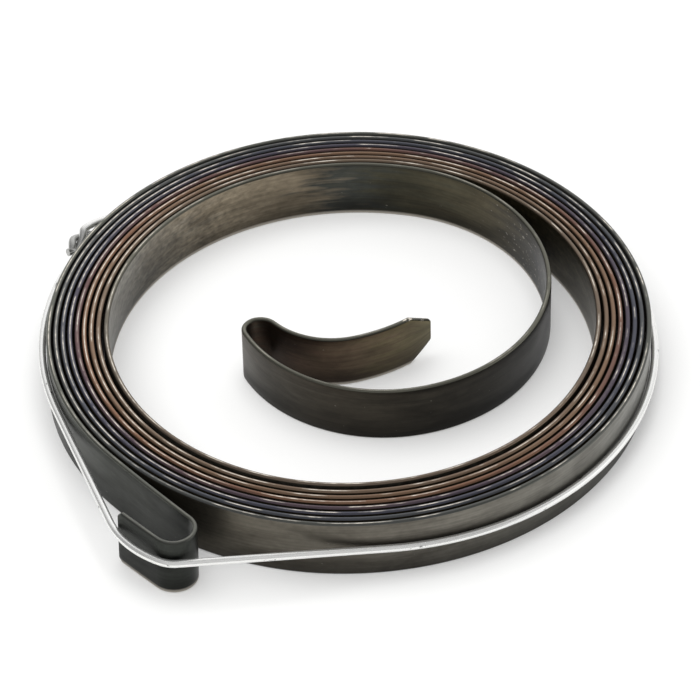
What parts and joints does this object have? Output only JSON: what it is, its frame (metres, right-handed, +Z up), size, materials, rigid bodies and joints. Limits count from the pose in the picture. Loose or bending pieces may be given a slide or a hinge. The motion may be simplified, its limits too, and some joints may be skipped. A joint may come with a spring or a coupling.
{
  "type": "recoil starter spring",
  "caption": "Flat spiral spring of steel strip with a hook at its outer end and a hooked inner loop, tied wound with a wire; pulls a starter rope back onto its drum.",
  "frame": {"origin": "middle of the coil, on the plane that the strip's lower edges rest on", "axes": "+Z up along the coil's axis, +Y to the back, away from the outer hook, +X to the right"},
  "size_m": [0.095, 0.0984, 0.01],
  "materials": {
    "spring_steel": "hardened and tempered strip, dark satin with temper colours on the edges",
    "bright_wire": "bright drawn wire"
  },
  "bodies": {
    "root": {"spring_strip": "spring_steel", "tie_wire": "bright_wire"}
  },
  "joints": []
}
